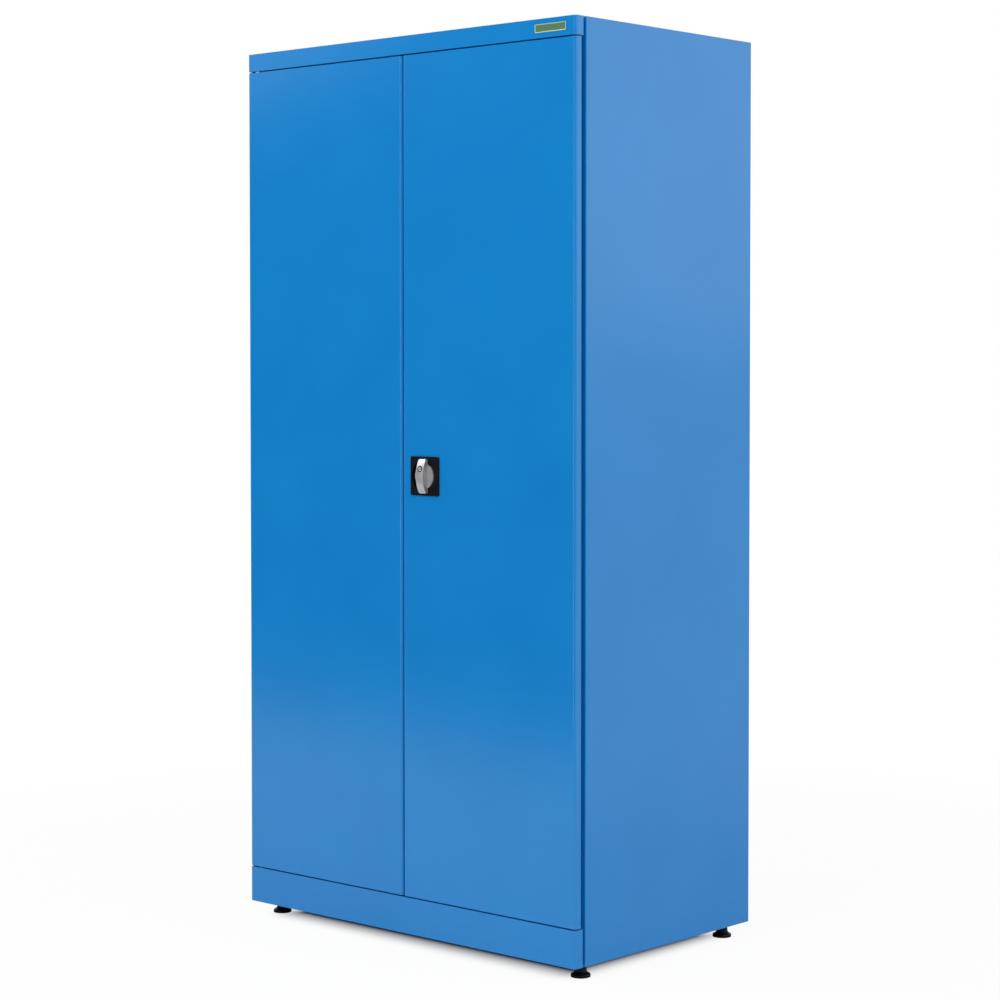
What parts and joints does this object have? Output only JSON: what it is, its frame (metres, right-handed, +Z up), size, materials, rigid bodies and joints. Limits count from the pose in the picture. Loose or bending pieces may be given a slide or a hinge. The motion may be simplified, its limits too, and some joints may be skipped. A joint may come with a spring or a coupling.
{
  "type": "tool cabinet",
  "caption": "Tall steel tool cabinet with two hinged doors, a rotary three-way door lock, adjustable shelves and levelling feet.",
  "frame": {"origin": "on the floor, under the middle of the cabinet's body", "axes": "+Z up, +X to the right seen from the front, +Y to the back; the doors face -Y"},
  "size_m": [1, 0.6204, 2],
  "materials": {
    "cabinet_blue_paint": "fine textured powder coat",
    "zinc_plated_steel": "bright zinc plate",
    "black_plastic": "moulded, fine grain",
    "black_rubber": "matt",
    "black_acetal": "moulded",
    "handle_zinc": "satin chrome on die-cast zinc",
    "key_metal": "bright nickel",
    "nameplate_face": "plain face with a pale rim"
  },
  "bodies": {
    "carcass": {"left_side": "cabinet_blue_paint", "right_side": "cabinet_blue_paint", "left_post": "cabinet_blue_paint", "right_post": "cabinet_blue_paint", "back_panel": "cabinet_blue_paint", "roof_panel": "cabinet_blue_paint", "floor_panel": "cabinet_blue_paint", "header": "cabinet_blue_paint", "plinth": "cabinet_blue_paint", "nameplate": "nameplate_face", "foot_brackets": "zinc_plated_steel", "foot_nuts": "zinc_plated_steel", "upright_left_front": "zinc_plated_steel", "upright_left_rear": "zinc_plated_steel", "upright_right_front": "zinc_plated_steel", "upright_right_rear": "zinc_plated_steel", "shelf_1": "cabinet_blue_paint", "shelf_2": "cabinet_blue_paint", "shelf_3": "cabinet_blue_paint", "shelf_4": "cabinet_blue_paint", "shelf_clips": "zinc_plated_steel", "back_rivets": "zinc_plated_steel", "hinge_pins": "zinc_plated_steel", "door_buffers": "black_rubber"},
    "left_door_body": {"left_door": "cabinet_blue_paint", "left_stiffener": "cabinet_blue_paint", "left_bushes": "black_acetal", "left_bolt_guides": "zinc_plated_steel"},
    "right_door_body": {"right_door": "cabinet_blue_paint", "right_stiffener": "cabinet_blue_paint", "right_bushes": "black_acetal", "rod_guides": "black_acetal", "lock_plate": "black_plastic", "lock_case": "zinc_plated_steel", "case_cover": "zinc_plated_steel", "case_screws": "zinc_plated_steel", "plate_screws": "zinc_plated_steel"},
    "handle": {"handle_grip": "handle_zinc", "key_ring": "black_plastic", "lock_spindle": "zinc_plated_steel", "drive_pinion": "zinc_plated_steel", "lock_cam": "zinc_plated_steel", "cam_screw": "zinc_plated_steel"},
    "key": {"key_cylinder": "key_metal"},
    "upper_rod_body": {"upper_rod": "zinc_plated_steel"},
    "lower_rod_body": {"lower_rod": "zinc_plated_steel"},
    "left_top_bolt_body": {"left_top_bolt": "zinc_plated_steel"},
    "left_bottom_bolt_body": {"left_bottom_bolt": "zinc_plated_steel"},
    "levelling_foot_front_left": {"foot_front_left": "black_plastic", "stem_front_left": "zinc_plated_steel"},
    "levelling_foot_front_right": {"foot_front_right": "black_plastic", "stem_front_right": "zinc_plated_steel"},
    "levelling_foot_rear_left": {"foot_rear_left": "black_plastic", "stem_rear_left": "zinc_plated_steel"},
    "levelling_foot_rear_right": {"foot_rear_right": "black_plastic", "stem_rear_right": "zinc_plated_steel"}
  },
  "joints": [
    {"name": "left_door_hinge", "type": "hinge", "parent": "carcass", "child": "left_door_body", "pos_m": [-0.49, -0.29, 1.036], "axis": [0, 0, -1], "range_deg": [0, 180]},
    {"name": "right_door_hinge", "type": "hinge", "parent": "carcass", "child": "right_door_body", "pos_m": [0.49, -0.29, 1.036], "axis": [0, 0, 1], "range_deg": [0, 180]},
    {"name": "handle_turn", "type": "hinge", "parent": "right_door_body", "child": "handle", "pos_m": [0.07, -0.3, 1.042], "axis": [0, -1, 0], "range_deg": [0, 90]},
    {"name": "key_turn", "type": "hinge", "parent": "handle", "child": "key", "pos_m": [0.07, -0.32, 1.058], "axis": [0, -1, 0], "range_deg": [0, 90]},
    {"name": "upper_rod_slide", "type": "slide", "parent": "right_door_body", "child": "upper_rod_body", "axis": [0, 0, 1], "range_m": [0, 0.01571]},
    {"name": "lower_rod_slide", "type": "slide", "parent": "right_door_body", "child": "lower_rod_body", "axis": [0, 0, -1], "range_m": [0, 0.01571]},
    {"name": "left_top_bolt_slide", "type": "slide", "parent": "left_door_body", "child": "left_top_bolt_body", "axis": [0, 0, 1], "range_m": [0, 0.014]},
    {"name": "left_bottom_bolt_slide", "type": "slide", "parent": "left_door_body", "child": "left_bottom_bolt_body", "axis": [0, 0, -1], "range_m": [0, 0.014]},
    {"name": "foot_front_left_screw", "type": "slide", "parent": "carcass", "child": "levelling_foot_front_left", "axis": [0, 0, -1], "range_m": [0, 0.015]},
    {"name": "foot_front_right_screw", "type": "slide", "parent": "carcass", "child": "levelling_foot_front_right", "axis": [0, 0, -1], "range_m": [0, 0.015]},
    {"name": "foot_rear_left_screw", "type": "slide", "parent": "carcass", "child": "levelling_foot_rear_left", "axis": [0, 0, -1], "range_m": [0, 0.015]},
    {"name": "foot_rear_right_screw", "type": "slide", "parent": "carcass", "child": "levelling_foot_rear_right", "axis": [0, 0, -1], "range_m": [0, 0.015]}
  ],
  "couplings": [
    {"joint": "upper_rod_slide", "follows": "handle_turn", "m_per_rad": 0.01},
    {"joint": "lower_rod_slide", "follows": "handle_turn", "m_per_rad": 0.01}
  ]
}
